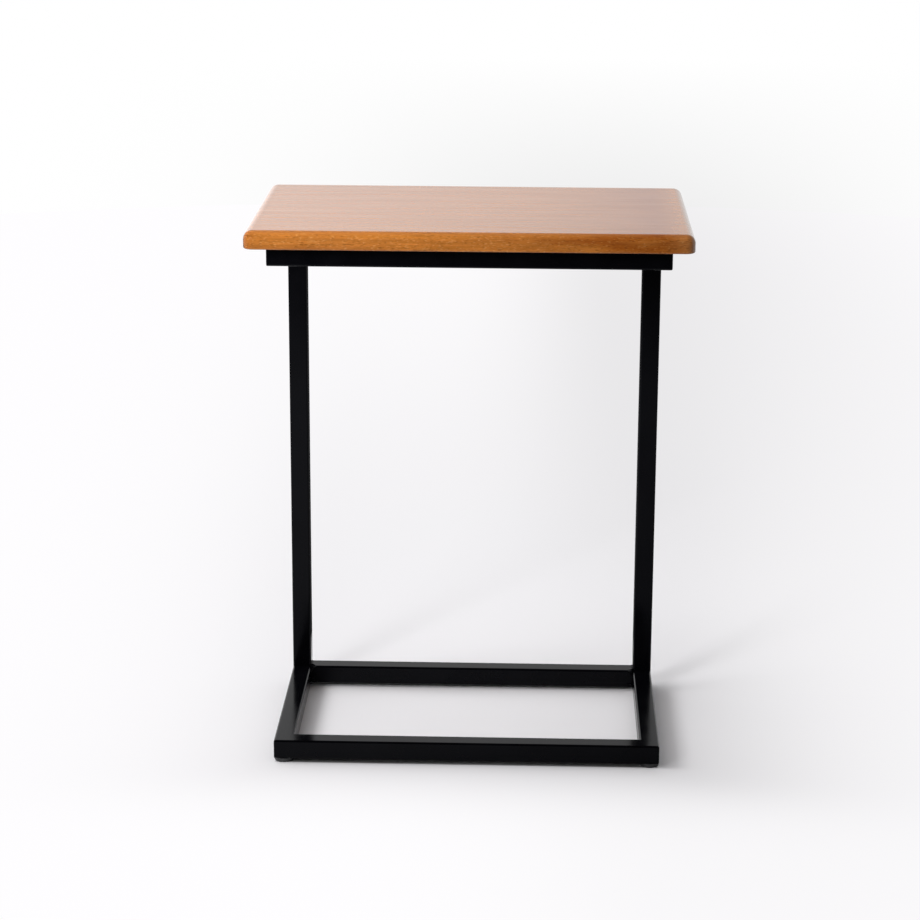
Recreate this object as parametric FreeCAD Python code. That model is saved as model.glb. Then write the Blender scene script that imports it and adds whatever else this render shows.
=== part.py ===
import FreeCAD, Part
import os

from FreeCAD import Vector

# C-shaped side table. Millimetres, +Z up, +X to the right, the open side of the C at -Y.
# The origin is on the floor, under the middle of the top.

# Wooden top
top_width = 440.0
top_depth = 280.0
top_thickness = 18.0
top_upper_round = 9.0
top_lower_round = 1.5
top_face_corner_radius = 1.0

# Frame of square steel tube
table_height = 560.0
side_overhang = 21.0
front_rear_overhang = 19.0
tube_size = 20.0
tube_wall = 1.5
tube_round = 2.0

# Fillet welds at the ends of the two rear cross tubes
weld_leg = 3.0
weld_crown = 0.4

# Levelling feet: a nylon pad snapped over the round head of a threaded stud
pad_diameter = 20.0
pad_floor = 1.0
pad_lip = 1.2
pad_edge_round = 1.0
key_hole_diameter = 4.6
stud_diameter = 6.0
stud_head_diameter = 9.0
stud_head_height = 1.6
stud_end_gap = 1.0
stud_chamfer = 0.6
stud_key_size = 3.0
stud_key_depth = 3.5

# Nuts welded to the inside of the base tube
nut_diameter = 11.0
nut_height = 8.0
nut_pilot_diameter = 8.0

# Screws, washers and threaded inserts that hold the top
screw_diameter = 5.0
screw_head_diameter = 9.5
screw_head_height = 2.75
screw_head_rim = 0.8
screw_engagement = 10.0
screw_key_size = 3.0
screw_key_depth = 1.6
washer_diameter = 10.0
washer_thickness = 1.0
insert_diameter = 8.0
insert_length = 12.0
insert_end_gap = 1.0
arm_fixing_inset = 46.0

# Clearances, each on one side, and the overrun of every cut
thread_clearance = 0.05
head_clearance = 0.1
pilot_clearance = 0.05
insert_clearance = 0.02
fixing_clearance = 0.25
access_clearance = 0.5
cut_overrun = 1.0
parallel_share = 0.999
level_tolerance_share = 0.001

# Levels and half sizes that follow from the sizes above
pad_height = pad_floor + stud_head_height + 2 * head_clearance + pad_lip
half_width = top_width / 2 - side_overhang
half_depth = top_depth / 2 - front_rear_overhang
base_low = pad_height
base_high = base_low + tube_size
rail_high = table_height - top_thickness
rail_low = rail_high - tube_size
upper_wall = rail_high - tube_wall
half_tube = tube_size / 2
along_x = Vector(1, 0, 0)
along_y = Vector(0, 1, 0)
along_z = Vector(0, 0, 1)


def block(low, high):
    size = high - low
    return Part.makeBox(size.x, size.y, size.z, low)


def disc(diameter, centre, low, high):
    return Part.makeCylinder(diameter / 2, high - low, Vector(centre.x, centre.y, low))


def prism(points, run):
    outline = Part.makePolygon(points + points[:1])
    return Part.Face(outline).extrude(run)


def hexagon(across_flats, centre, low, high):
    # The corners stand on the circle through them, one edge length from the centre.
    corner = Vector(across_flats / 3 ** 0.5, 0, 0)
    points = []
    for turn in range(6):
        spoke = FreeCAD.Rotation(along_z, 60 * turn).multVec(corner)
        points.append(Vector(centre.x + spoke.x, centre.y + spoke.y, low))
    return prism(points, along_z * (high - low))


def edges_along(shape, direction):
    found = []
    for edge in shape.Edges:
        heading = edge.tangentAt(edge.FirstParameter)
        if abs(heading.dot(direction)) > parallel_share:
            found.append(edge)
    return found


def edges_at_level(shape, level):
    tolerance = top_thickness * level_tolerance_share
    found = []
    for edge in shape.Edges:
        box = edge.BoundBox
        if abs(box.ZMin - level) < tolerance and abs(box.ZMax - level) < tolerance:
            found.append(edge)
    return found


# Where the feet and the fixings of the top stand, seen from above

foot_places = {
    "front_left": Vector(half_tube - half_width, half_tube - half_depth, 0),
    "front_right": Vector(half_width - half_tube, half_tube - half_depth, 0),
    "rear_left": Vector(half_tube - half_width, half_depth - half_tube, 0),
    "rear_right": Vector(half_width - half_tube, half_depth - half_tube, 0),
}
arm_x = half_width - half_tube
rail_y = half_depth - half_tube
fixing_places = [Vector(0, -rail_y, 0), Vector(0, rail_y, 0)]
for side in (-1, 1):
    for end in (-1, 1):
        fixing_places.append(Vector(side * arm_x, end * (half_depth - arm_fixing_inset), 0))


# Wooden top: one panel, rounded over above, eased below, with blind holes for the inserts

def make_tabletop():
    low = Vector(-top_width / 2, -top_depth / 2, rail_high)
    high = Vector(top_width / 2, top_depth / 2, table_height)
    panel = block(low, high)
    corner_radius = top_upper_round + top_face_corner_radius
    panel = panel.makeFillet(corner_radius, edges_along(panel, along_z))
    panel = panel.makeFillet(top_upper_round, edges_at_level(panel, table_height))
    panel = panel.makeFillet(top_lower_round, edges_at_level(panel, rail_high))
    hole_diameter = insert_diameter + 2 * insert_clearance
    hole_end = rail_high + insert_length + insert_end_gap
    for place in fixing_places:
        panel = panel.cut(disc(hole_diameter, place, rail_high - cut_overrun, hole_end))
    return panel


# Frame: two C-shaped sides joined by four cross tubes

def square_tube(low, high, direction):
    outer = block(low, high)
    outer = outer.makeFillet(tube_round, edges_along(outer, direction))
    across = Vector(1, 1, 1) - direction
    bore_low = low + across * tube_wall - direction * cut_overrun
    bore_high = high - across * tube_wall + direction * cut_overrun
    return outer.cut(block(bore_low, bore_high))


def frame_envelope():
    # The outside of the frame, with the mitred corners ground round.
    body = block(Vector(-half_width, -half_depth, base_low), Vector(half_width, half_depth, rail_high))
    ground = []
    for edge in edges_along(body, along_z):
        if edge.CenterOfMass.y < 0:
            ground.append(edge)
    for edge in edges_along(body, along_x):
        if edge.CenterOfMass.y > 0:
            ground.append(edge)
    return body.makeFillet(tube_round, ground)


def plan_mitre(corners):
    low = base_low - cut_overrun
    points = []
    for x, y in corners:
        points.append(Vector(x, y, low))
    return prism(points, along_z * (rail_high - base_low + 2 * cut_overrun))


def side_mitre(corners):
    left = -half_width - cut_overrun
    points = []
    for y, z in corners:
        points.append(Vector(left, y, z))
    return prism(points, along_x * (2 * half_width + 2 * cut_overrun))


def foot_holes():
    diameter = nut_pilot_diameter + 2 * pilot_clearance
    high = base_low + tube_wall + cut_overrun
    holes = []
    for place in foot_places.values():
        holes.append(disc(diameter, place, base_low - cut_overrun, high))
    return holes


def fixing_holes():
    # The screw passes the upper wall; a wider hole in the lower wall lets its head in.
    screw_hole = screw_diameter + 2 * fixing_clearance
    access_hole = washer_diameter + 2 * access_clearance
    holes = []
    for place in fixing_places:
        holes.append(disc(screw_hole, place, upper_wall - cut_overrun, rail_high + cut_overrun))
        holes.append(disc(access_hole, place, rail_low - cut_overrun, rail_low + tube_wall + cut_overrun))
    return holes


def make_front_tube(low):
    tube = square_tube(
        Vector(-half_width, -half_depth, low),
        Vector(half_width, tube_size - half_depth, low + tube_size),
        along_x,
    )
    mitre = plan_mitre([
        (-half_width, -half_depth),
        (half_width, -half_depth),
        (half_width - tube_size, tube_size - half_depth),
        (tube_size - half_width, tube_size - half_depth),
    ])
    return tube.common(mitre).common(envelope)


def make_rear_tube(low):
    # The rear cross tubes are cut square and stand between the two sides.
    return square_tube(
        Vector(tube_size - half_width, half_depth - tube_size, low),
        Vector(half_width - tube_size, half_depth, low + tube_size),
        along_x,
    )


def make_side_tube(side, low, inner_level, outer_level):
    # A runner or an arm: mitred in plan to the front tube and in side view to the upright.
    outer_x = side * half_width
    inner_x = side * (half_width - tube_size)
    tube = square_tube(
        Vector(min(outer_x, inner_x), -half_depth, low),
        Vector(max(outer_x, inner_x), half_depth, low + tube_size),
        along_y,
    )
    front = plan_mitre([
        (outer_x, -half_depth),
        (inner_x, tube_size - half_depth),
        (inner_x, half_depth),
        (outer_x, half_depth),
    ])
    rear = side_mitre([
        (-half_depth, outer_level),
        (half_depth, outer_level),
        (half_depth - tube_size, inner_level),
        (-half_depth, inner_level),
    ])
    return tube.common(front).common(rear).common(envelope)


def make_upright(side):
    outer_x = side * half_width
    inner_x = side * (half_width - tube_size)
    tube = square_tube(
        Vector(min(outer_x, inner_x), half_depth - tube_size, base_low),
        Vector(max(outer_x, inner_x), half_depth, rail_high),
        along_z,
    )
    ends = side_mitre([
        (half_depth, base_low),
        (half_depth, rail_high),
        (half_depth - tube_size, rail_low),
        (half_depth - tube_size, base_high),
    ])
    return tube.common(ends).common(envelope)


# Welds: a bead in each inner corner where a rear cross tube meets a side

def weld_bead(corner, leg_a, leg_b, run):
    end_a = corner + leg_a * weld_leg
    end_b = corner + leg_b * weld_leg
    outward = (leg_a + leg_b).normalize()
    crown = (end_a + end_b) / 2 + outward * weld_crown
    outline = Part.Wire([
        Part.makeLine(corner, end_a),
        Part.Arc(end_a, crown, end_b).toShape(),
        Part.makeLine(end_b, corner),
    ])
    return Part.Face(outline).extrude(run)


def make_left_base_welds():
    x = tube_size - half_width
    front_y = half_depth - tube_size
    length = tube_size - 2 * tube_round
    upper = weld_bead(
        Vector(x, front_y + tube_round, base_high), along_x, along_z, along_y * length
    )
    front = weld_bead(
        Vector(x, front_y, base_low + tube_round), along_x, along_y * -1, along_z * length
    )
    return Part.makeCompound([upper, front])


def mirrored_in_x(shape):
    return shape.mirror(Vector(0, 0, 0), along_x)


def mirrored_in_height(shape):
    return shape.mirror(Vector(0, 0, (base_low + rail_high) / 2), along_z)


# Levelling feet and the nuts that they screw into

def make_foot_pad(place):
    outer = pad_diameter / 2
    key = key_hole_diameter / 2
    neck = stud_diameter / 2 + head_clearance
    pocket = stud_head_diameter / 2 + head_clearance
    pocket_top = pad_height - pad_lip
    corner = outer - pad_edge_round
    arc_mid = Vector(
        corner + pad_edge_round / 2 ** 0.5, 0, pad_edge_round - pad_edge_round / 2 ** 0.5
    )
    edge = Part.Arc(Vector(corner, 0, 0), arc_mid, Vector(outer, 0, pad_edge_round)).toShape()
    rest = Part.makePolygon([
        Vector(outer, 0, pad_edge_round),
        Vector(outer, 0, pad_height),
        Vector(neck, 0, pad_height),
        Vector(neck, 0, pocket_top),
        Vector(pocket, 0, pocket_top),
        Vector(pocket, 0, pad_floor),
        Vector(key, 0, pad_floor),
        Vector(key, 0, 0),
        Vector(corner, 0, 0),
    ])
    section = Part.Face(Part.Wire([edge] + rest.Edges))
    pad = section.revolve(Vector(0, 0, 0), along_z, 360)
    pad.translate(place)
    return pad


def make_foot_stud(place):
    head_low = pad_floor + head_clearance
    head_high = head_low + stud_head_height
    tip = base_high - tube_wall - stud_end_gap
    shank = disc(stud_diameter, place, head_low, tip)
    tip_edges = []
    for edge in shank.Edges:
        if edge.BoundBox.ZMin > head_high:
            tip_edges.append(edge)
    shank = shank.makeChamfer(stud_chamfer, tip_edges)
    stud = shank.fuse(disc(stud_head_diameter, place, head_low, head_high))
    socket = hexagon(stud_key_size, place, head_low - cut_overrun, head_low + stud_key_depth)
    return stud.cut(socket).removeSplitter()


def make_foot_nut(place):
    floor_level = base_low + tube_wall
    high = floor_level + nut_height
    body = disc(nut_diameter, place, floor_level, high)
    pilot = disc(nut_pilot_diameter, place, base_low, high)
    thread_diameter = stud_diameter + 2 * thread_clearance
    bore = disc(thread_diameter, place, base_low - cut_overrun, high + cut_overrun)
    return body.fuse(pilot).cut(bore).removeSplitter()


# Fixings of the top: a screw and washer inside the tube, and an insert in the wood above

def make_fixing_screw(place):
    seat = upper_wall - washer_thickness
    head_low = seat - screw_head_height
    head = disc(screw_head_diameter, place, head_low, seat)
    lower_rim = edges_at_level(head, head_low)
    head = head.makeFillet(screw_head_height - screw_head_rim, lower_rim)
    shank = disc(screw_diameter, place, seat - screw_head_rim, rail_high + screw_engagement)
    socket = hexagon(screw_key_size, place, head_low - cut_overrun, head_low + screw_key_depth)
    return head.fuse(shank).cut(socket).removeSplitter()


def make_fixing_washer(place):
    low = upper_wall - washer_thickness
    ring = disc(washer_diameter, place, low, upper_wall)
    hole = screw_diameter + 2 * fixing_clearance
    return ring.cut(disc(hole, place, low - cut_overrun, upper_wall + cut_overrun))


def make_fixing_insert(place):
    high = rail_high + insert_length
    sleeve = disc(insert_diameter, place, rail_high, high)
    thread = screw_diameter + 2 * thread_clearance
    return sleeve.cut(disc(thread, place, rail_high - cut_overrun, high + cut_overrun))


def at_each_fixing(make):
    return Part.makeCompound([make(place) for place in fixing_places])


envelope = frame_envelope()
nodes = {"tabletop": make_tabletop()}

nodes["base_front_bar"] = make_front_tube(base_low).cut(foot_holes())
nodes["base_rear_bar"] = make_rear_tube(base_low)
nodes["top_front_rail"] = make_front_tube(rail_low).cut(fixing_holes())
nodes["top_rear_rail"] = make_rear_tube(rail_low).cut(fixing_holes())
for name, side in (("left", -1), ("right", 1)):
    runner = make_side_tube(side, base_low, base_high, base_low)
    arm = make_side_tube(side, rail_low, rail_low, rail_high)
    nodes["base_" + name + "_runner"] = runner.cut(foot_holes())
    nodes["top_" + name + "_arm"] = arm.cut(fixing_holes())
    nodes[name + "_upright"] = make_upright(side)

left_base_welds = make_left_base_welds()
nodes["base_left_welds"] = left_base_welds
nodes["base_right_welds"] = mirrored_in_x(left_base_welds)
nodes["top_left_welds"] = mirrored_in_height(left_base_welds)
nodes["top_right_welds"] = mirrored_in_x(mirrored_in_height(left_base_welds))

for corner, place in foot_places.items():
    nodes[corner + "_foot_nut"] = make_foot_nut(place)
    nodes[corner + "_foot_stud"] = make_foot_stud(place)
    nodes[corner + "_foot_pad"] = make_foot_pad(place)

nodes["top_fixing_screws"] = at_each_fixing(make_fixing_screw)
nodes["top_fixing_washers"] = at_each_fixing(make_fixing_washer)
nodes["top_fixing_inserts"] = at_each_fixing(make_fixing_insert)

os.makedirs("parts", exist_ok=True)
for name, shape in nodes.items():
    shape.exportStep("parts/" + name + ".step")
    print(name, len(shape.Solids), "solids", round(shape.Volume), "mm3", "valid", shape.isValid())
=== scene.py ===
import bpy
import bmesh
import math
import random
from mathutils import Matrix, Vector


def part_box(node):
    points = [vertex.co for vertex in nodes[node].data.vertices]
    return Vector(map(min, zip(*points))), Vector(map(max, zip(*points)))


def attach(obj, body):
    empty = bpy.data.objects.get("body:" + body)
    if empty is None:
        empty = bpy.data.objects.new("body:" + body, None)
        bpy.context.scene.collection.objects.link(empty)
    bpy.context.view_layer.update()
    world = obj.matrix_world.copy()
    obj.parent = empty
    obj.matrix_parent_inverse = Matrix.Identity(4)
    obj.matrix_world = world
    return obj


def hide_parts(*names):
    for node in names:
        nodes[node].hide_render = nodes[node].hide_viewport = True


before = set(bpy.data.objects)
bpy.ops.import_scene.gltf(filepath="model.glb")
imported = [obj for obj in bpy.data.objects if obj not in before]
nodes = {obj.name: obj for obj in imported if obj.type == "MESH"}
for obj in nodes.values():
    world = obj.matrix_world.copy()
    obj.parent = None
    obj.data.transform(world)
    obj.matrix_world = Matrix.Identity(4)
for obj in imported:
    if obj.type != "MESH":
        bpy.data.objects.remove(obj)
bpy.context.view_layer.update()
corners = ("front_left", "front_right", "rear_left", "rear_right")
print("frame loaded,", len(nodes), "nodes")


# small helpers for node trees

def addNode(tree, kind, inputs=None, **settings):
    made = tree.nodes.new(kind)
    for name, value in settings.items():
        setattr(made, name, value)
    for name, value in (inputs or {}).items():
        if isinstance(value, bpy.types.NodeSocket):
            tree.links.new(value, made.inputs[name])
        else:
            made.inputs[name].default_value = value
    return made


def emptyMaterial(name):
    material = bpy.data.materials.new(name)
    material.use_nodes = True
    material.node_tree.nodes.clear()
    return material, material.node_tree


def startMaterial(name):
    material, tree = emptyMaterial(name)
    shader = addNode(tree, "ShaderNodeBsdfPrincipled")
    addNode(tree, "ShaderNodeOutputMaterial", {"Surface": shader.outputs["BSDF"]})
    return material, tree, shader


def coords(tree, output="Object"):
    return addNode(tree, "ShaderNodeTexCoord").outputs[output]


def split3(tree, vector):
    return addNode(tree, "ShaderNodeSeparateXYZ", {0: vector}).outputs


def noise(tree, vector, rate, shift=(0.0, 0.0, 0.0), detail=2.0, roughness=0.5, output="Fac"):
    scaled = addNode(tree, "ShaderNodeMapping", {"Vector": vector, "Scale": rate, "Location": shift})
    made = addNode(tree, "ShaderNodeTexNoise", {
        "Vector": scaled.outputs["Vector"], "Scale": 1.0, "Detail": detail, "Roughness": roughness})
    return made.outputs[output]


def math2(tree, operation, a, b=0.0):
    return addNode(tree, "ShaderNodeMath", {0: a, 1: b}, operation=operation).outputs[0]


def vector2(tree, operation, a, b=(0.0, 0.0, 0.0), output="Vector"):
    return addNode(tree, "ShaderNodeVectorMath", {0: a, 1: b}, operation=operation).outputs[output]


def mixColor(tree, factor, a, b, blend="MIX"):
    made = addNode(tree, "ShaderNodeMix", {0: factor, 6: a, 7: b}, data_type="RGBA", blend_type=blend)
    return made.outputs[2]


def mixFloat(tree, factor, a, b):
    return addNode(tree, "ShaderNodeMix", {0: factor, 2: a, 3: b}, data_type="FLOAT").outputs[0]


def spread(tree, value, low, high, outLow=0.0, outHigh=1.0):
    made = addNode(tree, "ShaderNodeMapRange", {
        "Value": value, "From Min": low, "From Max": high, "To Min": outLow, "To Max": outHigh})
    return made.outputs["Result"]


# a bell curve with its own width on either side of the middle
def lopsided(tree, value, middle, below, above):
    off = math2(tree, "SUBTRACT", value, middle)
    over = math2(tree, "DIVIDE", math2(tree, "MAXIMUM", off, 0.0), above)
    under = math2(tree, "DIVIDE", math2(tree, "MINIMUM", off, 0.0), below)
    both = math2(tree, "ADD", over, under)
    return math2(tree, "EXPONENT", math2(tree, "MULTIPLY", math2(tree, "MULTIPLY", both, both), -1.0))


def feed(tree, value, shader, name):
    tree.links.new(value, shader.inputs[name])


def addBump(tree, shader, height, strength, distance):
    bump = addNode(tree, "ShaderNodeBump", {"Strength": strength, "Distance": distance, "Height": height})
    feed(tree, bump.outputs["Normal"], shader, "Normal")


def rgba(color):
    return (color[0], color[1], color[2], 1.0)


def useMaterial(names, material):
    for name in names:
        nodes[name].data.materials.clear()
        nodes[name].data.materials.append(material)


# oiled hardwood, a solid texture with the grain along X
# spans are from and to, then the values there where they aren't 0 and 1

woodLook = {
    "earlyWood": (0.565, 0.200, 0.039),
    "lateWood": (0.267, 0.082, 0.0145),
    "warmTone": (0.55, 0.19, 0.026),
    "stainTone": (0.20, 0.058, 0.0085),
    "noise": {
        "slow": {"rate": (2.2, 11.0, 11.0)},
        "fine": {"rate": (14.0, 90.0, 90.0)},
        "band": {"rate": (1.6, 24.0, 50.0), "shift": (0.3, 1.7, 0.9)},
        "streak": {"rate": (6.5, 80.0, 150.0), "detail": 3.0, "roughness": 0.55},
        "figure": {"rate": (20.0, 85.0, 80.0), "shift": (2.7, 0.4, 3.1)},
        "fibre": {"rate": (26.0, 950.0, 950.0), "detail": 4.0, "roughness": 0.62},
        "cloud": {"rate": (3.4, 9.0, 24.0), "shift": (4.1, 0.7, 2.3)},
        "stain": {"rate": (4.5, 60.0, 170.0), "shift": (1.9, 3.3, 0.6)},
        "pores": {"rate": (240.0, 950.0, 900.0), "detail": 1.0, "roughness": 0.4},
        "flecks": {"rate": (280.0, 900.0, 820.0), "shift": (9.0, 5.0, 1.0), "detail": 1.0, "roughness": 0.4},
        "planed": {"rate": (3.2, 34.0, 60.0), "shift": (6.1, 0.2, 4.4)},
    },
    "sway": {"slow": (0.0, 0.022, 0.022), "fine": (0.0, 0.0018, 0.0018)},
    "pithPlace": (0.0, -0.33, 0.41),     # heart of the log, off to the front and below
    "pithStretch": (0.035, 1.0, 1.0),
    "ringGap": 0.0052,
    "ringEnds": ((0.0, 0.25), (1.0, 0.25)),
    "ringPoints": ((0.12, 0.05), (0.55, 0.35), (0.86, 0.95)),
    "ringShare": 0.14,
    "shadeShares": {"streak": 0.30, "band": 0.34, "figure": 0.24},
    "shadeSpan": (0.30, 0.70),
    "warmSpan": (0.45, 0.75, 0.0, 0.65),
    "stainSpan": (0.58, 0.76, 0.0, 0.45),
    "fibreSpan": (0.25, 0.75, 0.72, 1.24),
    # painted shade: darker at the front edge, lighter towards the back
    "paintedShadeFrontToBack": (-0.14, 0.14, 0.93, 1.07),
    "upward": (0.6, 0.97),
    "evenTone": (0.405, 0.138, 0.025),   # the polished upper face shows less of the figure
    "evenShare": 0.65,
    "topFlecks": 0.45,
    "poreTone": (0.11, 0.033, 0.006),
    "poreSpan": (0.55, 0.70),
    "poreShare": 0.52,
    "latePores": 0.45,
    "fleckTone": (0.76, 0.39, 0.13),
    "fleckSpan": (0.58, 0.74),
    "fleckShare": 0.33,
    "heartAndShadeTint": (0.77, 0.60, 0.43),     # darker, redder towards the right: partly the wood's own tone, partly painted shade
    "heartAndShadeSpan": (0.195, 0.350),
    "heartAndShadeWander": 0.32,
    "heartAndShadeEven": 0.5,
    "paleTone": (0.50, 0.19, 0.05),      # paler again at the very right end: painted light on its rounded corner
    "paintedLightSpan": (0.203, 0.232),
    "paintedLightWander": 0.03,
    # painted shade at the left end of the board
    "leftPaintedShade": (0.76, 0.68, 0.62),
    "leftShadeSpan": (-0.207, -0.219),
    "endTone": (0.25, 0.105, 0.037),     # the sawn ends drink more oil: darker and greyer
    "endSpan": (0.55, 0.95, 0.0, 0.55),
    "matteFibre": 0.6,
    "matteShade": 0.4,
    "matteSpan": (0.3, 0.7, 0.09, 0.16),
    "underRough": (-0.95, -0.6, 0.38, 0.0),    # the underside is left as sanded
    "fibreHigh": 0.35,
    "poreDeep": 0.9,
    "planedHigh": 28.0,                  # faint waves left by the plane, long in X
    "bump": (0.2, 0.00006),
    "ior": 1.5,
}


def makeWood():
    look = woodLook
    material, tree, shader = startMaterial("oiledHardwood")
    place = coords(tree)
    spot = split3(tree, place)
    facing = split3(tree, coords(tree, "Normal"))

    # the grain wanders slowly along the board, and a little more finely on top of that
    bent = place
    for name, reach in look["sway"].items():
        sway = noise(tree, place, output="Color", **look["noise"][name])
        sway = vector2(tree, "SUBTRACT", sway, (0.5, 0.5, 0.5))
        bent = vector2(tree, "ADD", bent, vector2(tree, "MULTIPLY", sway, reach))

    # growth rings round the heart of the log, a slow rise and a quick fall in each
    fromPith = vector2(tree, "SUBTRACT", bent, look["pithPlace"])
    radius = vector2(tree, "LENGTH", vector2(tree, "MULTIPLY", fromPith, look["pithStretch"]), output="Value")
    ring = math2(tree, "FRACT", math2(tree, "DIVIDE", radius, look["ringGap"]))
    ringCurve = addNode(tree, "ShaderNodeFloatCurve", {"Value": ring})
    points = ringCurve.mapping.curves[0].points
    points[0].location, points[1].location = look["ringEnds"]
    for across, up in look["ringPoints"]:
        points.new(across, up)
    ringCurve.mapping.update()
    ringShade = ringCurve.outputs["Value"]

    # streaks, fibres, pores and flecks follow the bent grain, and clouds of colour don't
    grain = {name: noise(tree, bent, **look["noise"][name]) for name in
             ("band", "streak", "figure", "fibre", "stain", "pores", "flecks", "planed")}
    cloud = noise(tree, place, **look["noise"]["cloud"])

    shade = math2(tree, "MULTIPLY", ringShade, look["ringShare"])
    for name, share in look["shadeShares"].items():
        part = spread(tree, grain[name], *look["shadeSpan"])
        shade = math2(tree, "ADD", shade, math2(tree, "MULTIPLY", part, share))
    color = mixColor(tree, shade, rgba(look["earlyWood"]), rgba(look["lateWood"]))
    color = mixColor(tree, spread(tree, cloud, *look["warmSpan"]), color, rgba(look["warmTone"]))
    color = mixColor(tree, spread(tree, grain["stain"], *look["stainSpan"]), color, rgba(look["stainTone"]))
    fibreShade = spread(tree, grain["fibre"], *look["fibreSpan"])
    # painted shade, darker at the front and lighter towards the back, carried in the fibre shade
    fibreShade = math2(tree, "MULTIPLY", fibreShade, spread(tree, spot["Y"], *look["paintedShadeFrontToBack"]))
    fibreShade = addNode(tree, "ShaderNodeCombineColor", {0: fibreShade, 1: fibreShade, 2: fibreShade})
    color = mixColor(tree, 1.0, color, fibreShade.outputs[0], "MULTIPLY")
    evened = spread(tree, facing["Z"], *look["upward"], 0.0, look["evenShare"])
    color = mixColor(tree, evened, color, rgba(look["evenTone"]))
    # painted light: paler and greyer over the right end's rounded corner, where the darker tone stops
    paintedLight = math2(tree, "ADD", spot["X"], math2(tree, "MULTIPLY", grain["figure"], look["paintedLightWander"]))
    paintedLight = spread(tree, paintedLight, *look["paintedLightSpan"])
    color = mixColor(tree, paintedLight, color, rgba(look["paleTone"]))

    # pores as short dark dashes, thicker in the early wood, and a few pale ray flecks
    pore = spread(tree, grain["pores"], *look["poreSpan"])
    pore = math2(tree, "MULTIPLY", pore, spread(tree, ringShade, 0.0, 1.0, 1.0, look["latePores"]))
    fleck = spread(tree, grain["flecks"], *look["fleckSpan"])
    fewer = spread(tree, facing["Z"], *look["upward"], 1.0, look["topFlecks"])
    for mark, kind in ((pore, "pore"), (fleck, "fleck")):
        mark = math2(tree, "MULTIPLY", math2(tree, "MULTIPLY", mark, look[kind + "Share"]), fewer)
        color = mixColor(tree, mark, color, rgba(look[kind + "Tone"]))

    # darker and redder on the right, partly the wood's own tone and partly painted shade; painted shade at
    # the left end; and what shows of the end grain
    wander = mixFloat(tree, evened, grain["figure"], look["heartAndShadeEven"])
    along = math2(tree, "ADD", spot["X"], math2(tree, "MULTIPLY", wander, look["heartAndShadeWander"]))
    heartAndShade = spread(tree, along, *look["heartAndShadeSpan"])
    heartAndShade = math2(tree, "MULTIPLY", math2(tree, "MULTIPLY", heartAndShade, heartAndShade), math2(tree, "SUBTRACT", 1.0, paintedLight))
    color = mixColor(tree, heartAndShade, color, rgba(look["heartAndShadeTint"]), "MULTIPLY")
    # painted shade over the left end's last 12 mm
    leftShade = spread(tree, spot["X"], *look["leftShadeSpan"])
    color = mixColor(tree, leftShade, color, rgba(look["leftPaintedShade"]), "MULTIPLY")
    endPart = spread(tree, math2(tree, "ABSOLUTE", facing["X"]), *look["endSpan"])
    feed(tree, mixColor(tree, endPart, color, rgba(look["endTone"])), shader, "Base Color")

    matte = math2(tree, "ADD", math2(tree, "MULTIPLY", grain["fibre"], look["matteFibre"]),
                  math2(tree, "MULTIPLY", shade, look["matteShade"]))
    matte = spread(tree, matte, *look["matteSpan"])
    feed(tree, math2(tree, "ADD", matte, spread(tree, facing["Z"], *look["underRough"])), shader, "Roughness")
    height = math2(tree, "SUBTRACT", math2(tree, "MULTIPLY", grain["fibre"], look["fibreHigh"]),
                   math2(tree, "MULTIPLY", pore, look["poreDeep"]))
    height = math2(tree, "ADD", height, math2(tree, "MULTIPLY", grain["planed"], look["planedHigh"]))
    addBump(tree, shader, height, *look["bump"])
    shader.inputs["IOR"].default_value = look["ior"]
    return material


useMaterial(["tabletop"], makeWood())
print("wooden top done")


# satin black powder coat over the steel

coatLook = {
    "color": (0.0015, 0.0015, 0.0023),
    "dustTone": (0.0028, 0.0028, 0.0038),
    "tint": (0.90, 0.92, 1.0),
    "peelSize": 0.0013,
    "gritFiner": 3.1,
    "cloudRate": 24.0,
    "dustSpan": (0.35, 0.75),
    "roughSpan": (0.3, 0.7, 0.115, 0.165),
    "gritSpan": (0.2, 0.8, -0.02, 0.02),
    "lumpShares": (0.8, 0.2),
    "bump": (0.2, 0.00002),
    "sideSpan": (0.8, 0.97),     # the uprights' sides, where the coat lies rougher and shines less
    "sideFrom": (0.03, 0.06),    # heights, above the base
    "sideRough": 0.15,
    "gloss": (0.086, 0.0002),
}


def makeCoat():
    look = coatLook
    material, tree, shader = startMaterial("blackPowderCoat")
    place = coords(tree)
    rate = 1.0 / look["peelSize"]
    peel = noise(tree, place, (rate, rate, rate), roughness=0.45)
    rate *= look["gritFiner"]
    grit = noise(tree, place, (rate, rate, rate), detail=1.0, roughness=0.4)
    rate = look["cloudRate"]
    cloud = noise(tree, place, (rate, rate, rate), detail=3.0, roughness=0.55)
    dusty = spread(tree, cloud, *look["dustSpan"])
    feed(tree, mixColor(tree, dusty, rgba(look["color"]), rgba(look["dustTone"])), shader, "Base Color")
    sideways = math2(tree, "ABSOLUTE", split3(tree, coords(tree, "Normal"))["X"])
    sideways = spread(tree, sideways, *look["sideSpan"])
    sideways = math2(tree, "MULTIPLY", sideways, spread(tree, split3(tree, place)["Z"], *look["sideFrom"]))
    rough = spread(tree, cloud, *look["roughSpan"])
    rough = math2(tree, "ADD", rough, spread(tree, grit, *look["gritSpan"]))
    rough = math2(tree, "ADD", rough, math2(tree, "MULTIPLY", sideways, look["sideRough"]))
    feed(tree, rough, shader, "Roughness")
    lumps = math2(tree, "ADD", math2(tree, "MULTIPLY", peel, look["lumpShares"][0]),
                  math2(tree, "MULTIPLY", grit, look["lumpShares"][1]))
    addBump(tree, shader, lumps, *look["bump"])
    feed(tree, spread(tree, sideways, 0.0, 1.0, *look["gloss"]), shader, "Specular IOR Level")
    shader.inputs["Specular Tint"].default_value = rgba(look["tint"])
    return material


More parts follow.
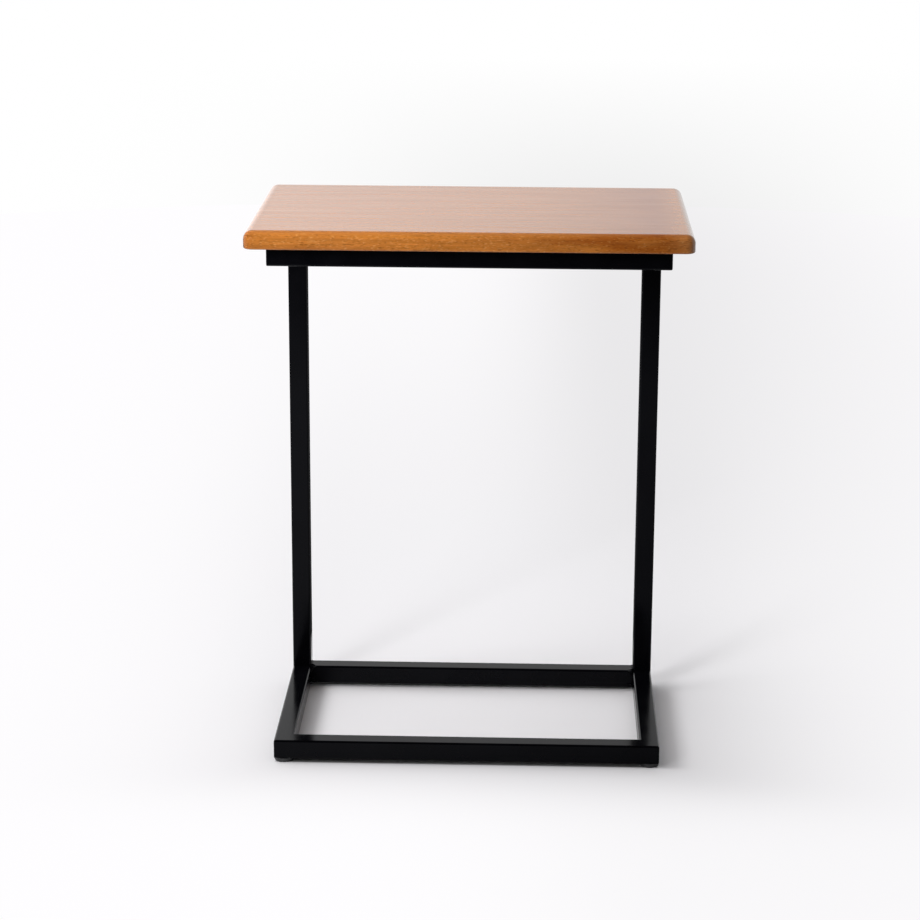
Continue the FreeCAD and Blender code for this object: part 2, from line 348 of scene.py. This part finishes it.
tubeNames = ["base_front_bar", "base_rear_bar", "base_left_runner", "base_right_runner", "left_upright",
             "right_upright", "top_front_rail", "top_rear_rail", "top_left_arm", "top_right_arm"]
blackCoat = makeCoat()
useMaterial(tubeNames, blackCoat)
print("steel frame done")


def newPiece(name, mesh, material):
    data = bpy.data.meshes.new(name)
    mesh.to_mesh(data)
    mesh.free()
    data.materials.append(material)
    piece = bpy.data.objects.new(name, data)
    bpy.context.scene.collection.objects.link(piece)
    return piece


def grownFace(mesh, face):
    made = bmesh.ops.extrude_face_region(mesh, geom=[face])["geom"]
    return [part for part in made if isinstance(part, bmesh.types.BMFace)][0]


# rippled weld bead in the corner round each end of the rear cross tubes

weldLook = {
    "leg": 0.003,            # reach of the CAD bead on either side of its corner
    "tubeRound": 0.002,
    "step": 0.0004,
    "thin": 0.0014,          # reach between the lumps
    "thick": 0.0031,         # reach at the lumps, on the tube's corner and at the foot of the seam
    "lump": 0.0028,
    "footLump": 0.8,         # how far the lump at the foot stands from the end, in lumps
    "lean": 1.15,            # the lumps spread further along the cross tube
    "rippleGap": 0.0023,
    "ripple": 0.22,
    "wobble": 0.16,
    "endRun": 0.0016,        # the bead thins out over this length, down to a share of its size
    "endShare": 0.22,
    "section": ((0.0, 0.0), (1.0, 0.0), (0.93, 0.30), (0.72, 0.62), (0.40, 0.88), (0.0, 1.0)),
}


def weldPath(look, length):
    run = length - look["tubeRound"]
    bend = 0.5 * math.pi * look["tubeRound"]
    count = int((2.0 * run + bend) / look["step"])
    for index in range(count + 1):
        along = index * (2.0 * run + bend) / count
        if along < run:
            yield along, (run - along, 0.0), 0.0
        elif along < run + bend:
            turn = (along - run) / look["tubeRound"]
            back, drop = -math.sin(turn), math.cos(turn) - 1.0
            yield along, (look["tubeRound"] * back, look["tubeRound"] * drop), turn
        else:
            yield along, (-look["tubeRound"], -look["tubeRound"] - (along - run - bend)), 0.5 * math.pi


def makeWeld(name, inward, upward, seed):
    look = weldLook
    low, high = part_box(name)
    cornerX = low.x if inward > 0 else high.x
    faceY = low.y + look["leg"]
    faceZ = high.z - look["leg"] if upward > 0 else low.z + look["leg"]
    dice = random.Random(seed)
    phase = dice.uniform(0.0, math.pi)
    stops = list(weldPath(look, high.y - faceY))
    total = stops[-1][0]
    lumps = (0.5 * total, total - look["footLump"] * look["lump"])
    drift = [dice.uniform(-1.0, 1.0) for part in range(int(total / look["rippleGap"]) + 3)]
    mesh = bmesh.new()
    mark = mesh.verts.layers.int.new("sectionPlace")
    face = None
    for along, (back, drop), turn in stops:
        beat = along / look["rippleGap"] + phase
        uneven = drift[int(beat) % len(drift)]
        size = 1.0 - look["ripple"] * (1.0 - abs(math.sin(math.pi * beat)))
        size -= look["wobble"] * (0.5 + 0.5 * uneven)
        near = min(abs(along - lump) for lump in lumps) / look["lump"]
        swell = math.exp(-near * near)
        size *= look["thin"] + (look["thick"] - look["thin"]) * swell
        ends = min(along, total - along) / look["endRun"]
        size *= math.sqrt(min(1.0, look["endShare"] + (1.0 - look["endShare"]) * ends))
        if face is None:
            starts = [mesh.verts.new((0.0, 0.0, 0.0)) for point in look["section"]]
            for place, vert in enumerate(starts):
                vert[mark] = place
            face = mesh.faces.new(starts)
        else:
            face = grownFace(mesh, face)
        for vert in face.verts:
            sideways, outward = look["section"][vert[mark]]
            vert.co.x = cornerX + inward * sideways * size * (1.0 + look["lean"] * swell)
            vert.co.y = faceY + look["tubeRound"] + back - outward * size * math.sin(turn)
            vert.co.z = faceZ + upward * (drop + outward * size * math.cos(turn))
    bmesh.ops.recalc_face_normals(mesh, faces=mesh.faces[:])
    bead = newPiece(name.replace("welds", "weld_bead"), mesh, blackCoat)
    for polygon in bead.data.polygons:
        polygon.use_smooth = len(polygon.vertices) == 4
    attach(bead, "table")
    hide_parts(name)


for seed, (name, inward, upward) in enumerate((("base_left_welds", 1, 1), ("base_right_welds", -1, 1),
                                               ("top_left_welds", 1, -1), ("top_right_welds", -1, -1))):
    makeWeld(name, inward, upward, 11 + seed)
print("weld beads done")


# feet and fixings: dark moulded nylon, zinc plate and brass

nylonLook = {
    "color": (0.042, 0.042, 0.044),
    "paleTone": (0.066, 0.066, 0.069),
    "grain": {"rate": (2600.0, 2600.0, 2600.0), "roughness": 0.6},
    "swirl": {"rate": (180.0, 180.0, 420.0), "detail": 3.0, "roughness": 0.55},
    "swirlSpan": (0.3, 0.7),
    "roughSpan": (0.3, 0.7, 0.40, 0.54),
    "bump": (0.3, 0.00005),
}


def makeNylon():
    look = nylonLook
    material, tree, shader = startMaterial("greyNylon")
    place = coords(tree)
    grain = noise(tree, place, **look["grain"])
    swirl = spread(tree, noise(tree, place, **look["swirl"]), *look["swirlSpan"])
    feed(tree, mixColor(tree, swirl, rgba(look["color"]), rgba(look["paleTone"])), shader, "Base Color")
    feed(tree, spread(tree, grain, *look["roughSpan"]), shader, "Roughness")
    addBump(tree, shader, grain, *look["bump"])
    return material


metalLook = {
    "zinc": {"color": (0.58, 0.59, 0.58), "darkTone": (0.42, 0.43, 0.44), "roughness": (0.24, 0.38)},
    "brass": {"color": (0.72, 0.50, 0.20), "darkTone": (0.52, 0.34, 0.12), "roughness": (0.26, 0.42)},
    "blotch": {"rate": (420.0, 420.0, 420.0), "detail": 3.0, "roughness": 0.6},
    "turned": {"rate": (700.0, 700.0, 6000.0), "detail": 1.0},
    "darkSpan": (0.35, 0.75),
    "roughSpan": (0.3, 0.7),
    "bump": (0.2, 0.00003),
}


def makeMetal(name, kind):
    look = metalLook
    tones = look[kind]
    material, tree, shader = startMaterial(name)
    place = coords(tree)
    blotch = noise(tree, place, **look["blotch"])
    turned = noise(tree, place, **look["turned"])
    dark = spread(tree, blotch, *look["darkSpan"])
    feed(tree, mixColor(tree, dark, rgba(tones["color"]), rgba(tones["darkTone"])), shader, "Base Color")
    feed(tree, spread(tree, blotch, *look["roughSpan"], *tones["roughness"]), shader, "Roughness")
    addBump(tree, shader, turned, *look["bump"])
    shader.inputs["Metallic"].default_value = 1.0
    return material


nylon = makeNylon()
zinc = makeMetal("zincPlate", "zinc")
brass = makeMetal("turnedBrass", "brass")
useMaterial([corner + "_foot_pad" for corner in corners], nylon)
useMaterial([corner + "_foot_nut" for corner in corners], zinc)
useMaterial(["top_fixing_screws", "top_fixing_washers"], zinc)
useMaterial(["top_fixing_inserts"], brass)


# threaded stud of a levelling foot, with its flat head and the socket for a key

studLook = {
    "sides": 36,
    "headRadius": 0.0045,
    "headHigh": 0.0016,
    "edge": 0.0003,
    "core": 0.00245,
    "crest": 0.00298,
    "root": 0.0002,          # how far the thread's foot lies inside the core
    "pitch": 0.001,
    "ridgeShare": 0.42,      # half the thread's foot, as a share of the pitch
    "crestShare": 0.1,       # the flat of its crest, as a share of its foot
    "turnSteps": 24,
    "point": 0.0009,
    "socketRim": 0.002,
    "socketFlat": 0.0015,    # half the key's width across flats
    "socketDeep": 0.0045,
}


def roundRing(face, middle, radius, height):
    for vert in face.verts:
        out = Vector((vert.co.x - middle.x, vert.co.y - middle.y, 0.0)).normalized() * radius
        vert.co = Vector((middle.x, middle.y, height)) + out


def makeStud(corner):
    look = studLook
    low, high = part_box(corner + "_foot_stud")
    middle = 0.5 * (low + high)
    mesh = bmesh.new()
    place = Matrix.Translation((middle.x, middle.y, low.z))
    sole = look["headRadius"] - look["edge"]
    bmesh.ops.create_circle(mesh, cap_ends=True, segments=look["sides"], radius=sole, matrix=place)
    mesh.faces.ensure_lookup_table()
    bottom = mesh.faces[0]
    top = bottom
    headTop = low.z + look["headHigh"]
    for radius, height in ((look["headRadius"], low.z + look["edge"]),
                           (look["headRadius"], headTop - look["edge"]),
                           (sole, headTop), (look["core"], headTop),
                           (look["core"], high.z - look["point"]),
                           (look["core"] - look["point"], high.z)):
        top = grownFace(mesh, top)
        roundRing(top, middle, radius, height)

    # the key's six-sided socket
    bmesh.ops.inset_region(mesh, faces=[bottom], thickness=look["socketRim"])
    sector = math.pi / 3.0
    for vert in bottom.verts:
        turn = math.atan2(vert.co.y - middle.y, vert.co.x - middle.x)
        side = look["socketFlat"] / math.cos((turn % sector) - 0.5 * sector)
        vert.co = Vector((middle.x + side * math.cos(turn), middle.y + side * math.sin(turn), low.z))
    deep = grownFace(mesh, bottom)
    bmesh.ops.translate(mesh, verts=deep.verts[:], vec=(0.0, 0.0, look["socketDeep"]))

    # the thread is a ridge wound round the core
    start, stop = headTop + look["pitch"], high.z - look["point"] - look["pitch"]
    turns = int((stop - start) / look["pitch"])
    half = look["ridgeShare"] * look["pitch"]
    flat = look["crestShare"] * half
    inner, outer = look["core"] - look["root"], look["crest"]
    ridge = [mesh.verts.new((middle.x + radius, middle.y, start + lift)) for radius, lift in
             ((inner, -half), (outer, -flat), (outer, flat), (inner, half))]
    thread = mesh.faces.new(ridge)
    bmesh.ops.spin(mesh, geom=[thread], cent=middle, axis=(0.0, 0.0, 1.0), angle=2.0 * math.pi * turns,
                   steps=look["turnSteps"] * turns, dvec=(0.0, 0.0, look["pitch"] / look["turnSteps"]))
    bmesh.ops.recalc_face_normals(mesh, faces=mesh.faces[:])
    stud = newPiece(corner + "_threaded_stud", mesh, zinc)
    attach(stud, corner + "_stud")
    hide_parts(corner + "_foot_stud")


for corner in corners:
    makeStud(corner)
print("feet and fixings done")


# pale floor that keeps the shadow, with painted shadow under the tubes and behind on the right, and runs out
# into white

floorLook = {
    "color": (0.95, 0.94, 0.965),
    "white": (0.995, 0.985, 1.0),
    "bounce": (0.45, 0.45, 0.46),        # what it throws back up at the table
    "reach": 3.2,
    "segments": 96,
    "foot": (0.199, 0.121),              # half sides of the base, where the shadow keeps its full depth
    "halfTube": 0.010,
    "paintedShadowUnderTubes": (0.0065, 0.0095, 0.35, 1.0),    # painted shadow, kept dark this far beside their middle line
    "rearLess": 0.0055,                  # less so under the rear bar
    "fadeRate": {"left": 9.0, "right": 7.5, "front": 13.7, "back": 1.3},
    "fadePower": {"left": 2.0, "right": 2.6, "front": 3.0, "back": 2.0},
    # in front the white starts with a step at the base's edge, painted light that sharpens the shadow's edge
    # there
    "fadeStart": {"left": 0.0, "right": 0.0, "front": 0.14, "back": 0.0},
    # painted shadow, a soft grey behind on the right
    "paintedShadow": {"across": (0.22, 0.175, 0.62), "back": (2.23, 2.5, 2.1), "depth": 0.147},
    # its reflections darken towards the camera, in front on the right, and far to the left
    "dimAhead": (-1.3, -2.1, 1.0, 0.0),
    "dimRight": (-0.15, 0.25, 0.0, 0.55),
    "dimRightDepth": (0.3, -0.1),
    "dimLeft": (-1.6, -0.7, 0.35, 1.0),
}


def makeFloor():
    look = floorLook
    mesh = bmesh.new()
    bmesh.ops.create_circle(mesh, cap_ends=True, cap_tris=False, segments=look["segments"],
                            radius=look["reach"])
    material, tree = emptyMaterial("paleFloor")
    spot = split3(tree, coords(tree))
    away = 0.0
    wide, deep = look["foot"]
    for side, axis, half, sign in (("right", "X", wide, 1.0), ("left", "X", wide, -1.0),
                                   ("back", "Y", deep, 1.0), ("front", "Y", deep, -1.0)):
        out = math2(tree, "SUBTRACT", spot[axis], sign * half)
        out = math2(tree, "MULTIPLY", out, sign * look["fadeRate"][side])
        # painted light: a step of white just outside the base, used in front only
        begun = math2(tree, "MULTIPLY", math2(tree, "GREATER_THAN", out, 0.0), look["fadeStart"][side] ** 2)
        out = math2(tree, "POWER", math2(tree, "MAXIMUM", out, 0.0), look["fadePower"][side])
        away = math2(tree, "ADD", away, math2(tree, "ADD", out, begun))
    fade = math2(tree, "EXPONENT", math2(tree, "MULTIPLY", math2(tree, "SQRT", away), -1.0))
    fade = math2(tree, "SUBTRACT", 1.0, fade)

    # painted shadow: a soft grey behind on the right
    paintedShadow = math2(tree, "MULTIPLY", lopsided(tree, spot["X"], *look["paintedShadow"]["across"]),
                 lopsided(tree, spot["Y"], *look["paintedShadow"]["back"]))
    paintedShadow = spread(tree, paintedShadow, 0.0, 1.0, 1.0, 1.0 - look["paintedShadow"]["depth"])

    # what each kind of ray sees of the floor
    seen = addNode(tree, "ShaderNodeLightPath").outputs
    shown = math2(tree, "MAXIMUM", seen["Is Camera Ray"], seen["Is Glossy Ray"])
    shown = math2(tree, "MAXIMUM", shown, seen["Is Transmission Ray"])
    aside = math2(tree, "MULTIPLY", spread(tree, spot["X"], *look["dimRight"]),
                  spread(tree, spot["Y"], *look["dimRightDepth"]))
    aside = math2(tree, "SUBTRACT", spread(tree, spot["X"], *look["dimLeft"]), aside)
    dimmed = math2(tree, "MULTIPLY", spread(tree, spot["Y"], *look["dimAhead"]), aside)
    bright = mixFloat(tree, seen["Is Glossy Ray"], paintedShadow, dimmed)
    # painted shadow: the floor kept dark right under the tubes, less so under the rear bar
    beside = math2(tree, "MAXIMUM", *[
        math2(tree, "SUBTRACT", math2(tree, "ABSOLUTE", spot[axis]), half - look["halfTube"])
        for axis, half in zip("XY", look["foot"])])
    rear = math2(tree, "GREATER_THAN", spot["Y"], deep - 2.0 * look["halfTube"])
    beside = math2(tree, "ADD", math2(tree, "ABSOLUTE", beside),
                   math2(tree, "MULTIPLY", rear, look["rearLess"]))
    bright = math2(tree, "MULTIPLY", bright, spread(tree, beside, *look["paintedShadowUnderTubes"]))
    color = mixColor(tree, shown, rgba(look["bounce"]), rgba(look["color"]))
    color = addNode(tree, "ShaderNodeVectorMath", {0: color, "Scale": bright}, operation="SCALE").outputs[0]
    matte = addNode(tree, "ShaderNodeBsdfDiffuse", {"Color": color})
    white = addNode(tree, "ShaderNodeEmission", {"Color": rgba(look["white"]), "Strength": bright})
    mixed = addNode(tree, "ShaderNodeMixShader", {
        0: math2(tree, "MULTIPLY", fade, shown), 1: matte.outputs[0], 2: white.outputs[0]})
    addNode(tree, "ShaderNodeOutputMaterial", {"Surface": mixed.outputs[0]})
    newPiece("floor", mesh, material)


makeFloor()


# bright studio above and behind, a dim room behind the camera
# each span is from and to along one axis of the direction, then the light there

roomLook = {
    "rising": (0.0, 1.0, 0.30, 1.0),
    "fromFront": (-0.6, 0.2, 0.30, 1.0),
    "fromSides": (-0.6, 0.6, 1.58, 0.44),
    "mirrorFront": (-0.35, 0.15, 0.06, 1.0),
    "mirrorSides": (-0.25, 0.25, 1.38, 0.60),
    "mirrorOverhead": (0.25, 0.80, 1.0, 0.15),
    "mirrorFarLeft": (-0.7, -0.3, 0.45, 1.0),
    "mirrorFarRight": (0.08, 0.22, 1.0, 1.55),
    # painted shadow seen straight from the camera, the same soft grey behind on the right
    "paintedShadow": {"across": (0.0283, 0.103, 0.103), "rise": (-0.186, -0.119, 1.0, 0.0), "depth": 0.173},
}


def makeRoom():
    look = roomLook
    world = bpy.data.worlds.new("studio")
    bpy.context.scene.world = world
    world.use_nodes = True
    tree = world.node_tree
    tree.nodes.clear()
    heading = split3(tree, coords(tree, "Generated"))
    lit = spread(tree, heading["Z"], *look["rising"])
    for axis, name in (("Y", "fromFront"), ("X", "fromSides")):
        lit = math2(tree, "MULTIPLY", lit, spread(tree, heading[axis], *look[name]))
    mirror = spread(tree, heading["Y"], *look["mirrorFront"])
    for axis, name in (("X", "mirrorSides"), ("Z", "mirrorOverhead"), ("X", "mirrorFarLeft"),
                       ("X", "mirrorFarRight")):
        mirror = math2(tree, "MULTIPLY", mirror, spread(tree, heading[axis], *look[name]))
    seen = addNode(tree, "ShaderNodeLightPath").outputs
    glossy = math2(tree, "MAXIMUM", seen["Is Glossy Ray"], seen["Is Transmission Ray"])
    # painted shadow: the backdrop seen from the camera goes soft grey behind on the right
    paintedShadow = math2(tree, "MULTIPLY", lopsided(tree, heading["X"], *look["paintedShadow"]["across"]),
                 spread(tree, heading["Z"], *look["paintedShadow"]["rise"]))
    paintedShadow = math2(tree, "MULTIPLY", paintedShadow, math2(tree, "GREATER_THAN", heading["Y"], 0.0))
    paintedShadow = spread(tree, paintedShadow, 0.0, 1.0, 1.0, 1.0 - look["paintedShadow"]["depth"])
    strength = mixFloat(tree, seen["Is Camera Ray"], mixFloat(tree, glossy, lit, mirror), paintedShadow)
    light = addNode(tree, "ShaderNodeBackground", {"Color": (1.0, 1.0, 1.0, 1.0), "Strength": strength})
    addNode(tree, "ShaderNodeOutputWorld", {"Surface": light.outputs[0]})


makeRoom()

lampLook = {
    "keyLamp": {"at": (-0.68, -0.96, 0.88), "aim": (-0.12, -0.14, 0.55), "size": (0.35, 0.60), "watts": 1.15,
                "spread": 42.0},
    "sideLamp": {"at": (-1.5, -0.10, 1.55), "aim": (0.0, 0.0, 0.15), "size": (0.9, 0.9), "watts": 16.2,
                 "spread": 180.0},
}


def makeLamp(name, look):
    data = bpy.data.lights.new(name, "AREA")
    data.shape = "RECTANGLE"
    data.size, data.size_y = look["size"]
    data.energy = look["watts"]
    data.spread = math.radians(look["spread"])
    lamp = bpy.data.objects.new(name, data)
    lamp.location = look["at"]
    toward = Vector(look["aim"]) - Vector(look["at"])
    lamp.rotation_euler = toward.to_track_quat("-Z", "Y").to_euler()
    lamp.visible_glossy = False
    bpy.context.scene.collection.objects.link(lamp)


for lampName, lampSettings in lampLook.items():
    makeLamp(lampName, lampSettings)
print("floor and light done")


# camera at the photograph's place

cameraLook = {"at": (0.06310, -2.58906, 1.02356), "yaw": -0.0287, "pitch": 0.2748, "roll": 0.0051,
              "lens": 100.554, "sensor": 36.0}


def makeCamera():
    look = cameraLook
    yaw, pitch, roll = look["yaw"], look["pitch"], look["roll"]
    forward = Vector((math.sin(yaw) * math.cos(pitch), math.cos(yaw) * math.cos(pitch), -math.sin(pitch)))
    right = Vector((math.cos(yaw), -math.sin(yaw), 0.0))
    up = right.cross(forward)
    turnedRight = right * math.cos(roll) + up * math.sin(roll)
    turnedUp = up * math.cos(roll) - right * math.sin(roll)
    data = bpy.data.cameras.new("camera")
    data.lens = look["lens"]
    data.sensor_width = look["sensor"]
    camera = bpy.data.objects.new("camera", data)
    turn = Matrix((turnedRight, turnedUp, -forward)).transposed().to_4x4()
    camera.matrix_world = Matrix.Translation(look["at"]) @ turn
    bpy.context.scene.collection.objects.link(camera)
    bpy.context.scene.camera = camera


makeCamera()
bpy.context.scene.view_settings.view_transform = "Standard"
